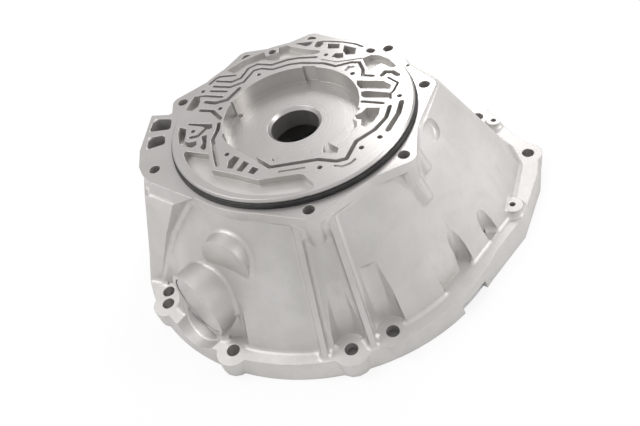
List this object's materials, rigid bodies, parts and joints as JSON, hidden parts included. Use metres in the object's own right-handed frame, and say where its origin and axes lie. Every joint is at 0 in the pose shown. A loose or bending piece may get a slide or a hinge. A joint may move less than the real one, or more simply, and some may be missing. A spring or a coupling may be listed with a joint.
{
  "type": "torque converter housing",
  "caption": "Die cast bell housing with a bolted engine flange, a round pump bowl with a through bore, oil channels, a rubber sealing ring and a covered side port.",
  "frame": {"origin": "centre of the central bore, half way along its wall", "axes": "+Z along the bore from the engine face to the gearbox face, +X to the right of the picture's view, +Y away from it"},
  "size_m": [0.4672, 0.4319, 0.1545],
  "materials": {
    "casting": "blasted",
    "ring_rubber": "satin",
    "cover_metal": "satin"
  },
  "bodies": {
    "root": {"housing": "casting", "sealing_ring": "ring_rubber", "port_cover": "cover_metal"}
  },
  "joints": []
}
